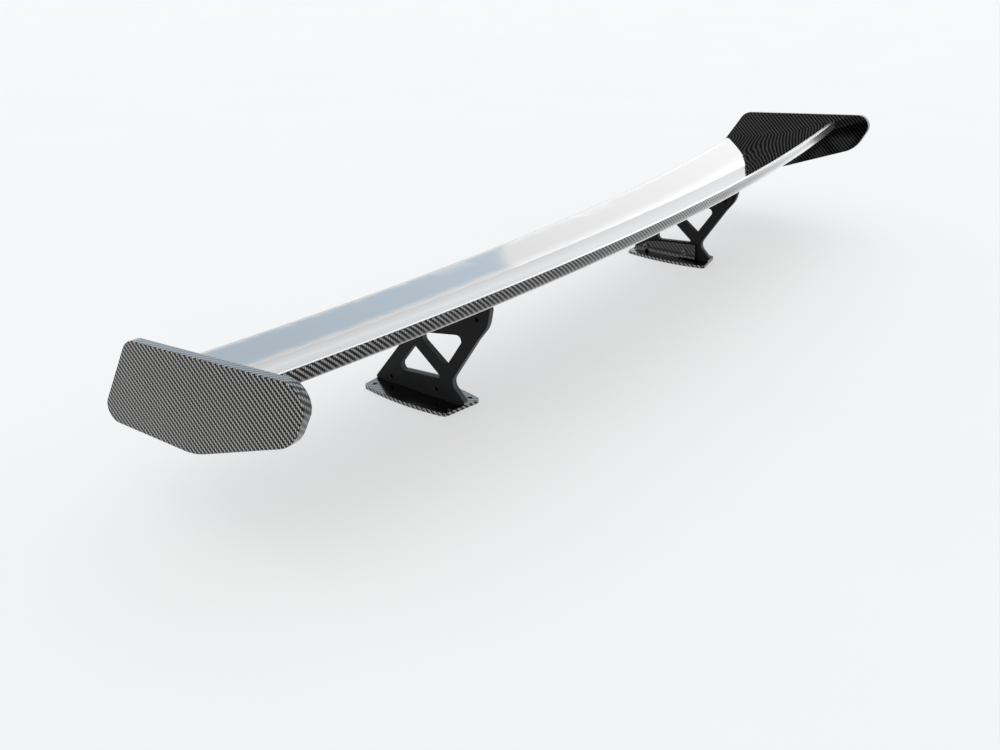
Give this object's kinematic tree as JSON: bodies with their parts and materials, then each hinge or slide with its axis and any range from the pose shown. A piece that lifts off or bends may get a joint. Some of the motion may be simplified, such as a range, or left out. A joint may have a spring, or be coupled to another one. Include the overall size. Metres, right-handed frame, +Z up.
{
  "type": "racing rear wing",
  "caption": "Bowed carbon rear wing with endplates on truss uprights and flanged bases; its angle of attack is adjustable.",
  "frame": {"origin": "on the ground plane, under the middle of the wing's bounding box", "axes": "+X across the car to its right, +Y forward (from trailing edge to leading edge), +Z up"},
  "size_m": [1.5, 0.3112, 0.2231],
  "materials": {
    "carbon_gloss": "2x2 twill carbon laminate under clear gloss lacquer",
    "carbon_base": "2x2 twill carbon laminate, gloss lacquer",
    "carbon_tube": "roll-wrapped carbon tube, matte",
    "foam_rib": "structural foam rib, fine-grained",
    "tooling_board": "dense board block",
    "black_plate": "satin black coated plate",
    "black_bracket": "satin black coated bracket",
    "black_steel": "black oxide",
    "zinc_steel": "zinc plated",
    "bush_polymer": "plain bearing polymer"
  },
  "bodies": {
    "supports": {"upright_right": "black_plate", "upright_left": "black_plate", "base_right": "carbon_base", "base_left": "carbon_base", "base_screws_right": "black_steel", "base_screws_left": "black_steel", "base_washers_right": "zinc_steel", "base_washers_left": "zinc_steel", "base_nuts_right": "zinc_steel", "base_nuts_left": "zinc_steel", "pivot_bolt_right": "black_steel", "pivot_bolt_left": "black_steel", "pivot_washer_right": "zinc_steel", "pivot_washer_left": "zinc_steel", "pivot_nut_right": "zinc_steel", "pivot_nut_left": "zinc_steel", "clamp_bolt_right": "black_steel", "clamp_bolt_left": "black_steel", "clamp_washer_right": "zinc_steel", "clamp_washer_left": "zinc_steel", "clamp_nut_right": "zinc_steel", "clamp_nut_left": "zinc_steel"},
    "element": {"upper_skin": "carbon_gloss", "lower_skin": "carbon_gloss", "trailing_edge_lip": "carbon_gloss", "front_spar_tube": "carbon_tube", "rear_spar_tube": "carbon_tube", "centre_rib": "foam_rib", "rib_inner_right": "foam_rib", "rib_inner_left": "foam_rib", "rib_outer_right": "foam_rib", "rib_outer_left": "foam_rib", "end_rib_right": "foam_rib", "end_rib_left": "foam_rib", "hardpoint_right": "tooling_board", "hardpoint_left": "tooling_board", "endplate_right": "carbon_gloss", "endplate_left": "carbon_gloss", "endplate_dowels_right": "zinc_steel", "endplate_dowels_left": "zinc_steel", "hanger_right": "black_bracket", "hanger_left": "black_bracket", "hanger_screws_right": "black_steel", "hanger_screws_left": "black_steel", "pivot_bush_right": "bush_polymer", "pivot_bush_left": "bush_polymer"}
  },
  "joints": [
    {"name": "angle_of_attack", "type": "hinge", "parent": "supports", "child": "element", "pos_m": [0, 0.055, 0.111], "axis": [-1, 0, 0], "range_deg": [-5, 5]}
  ]
}
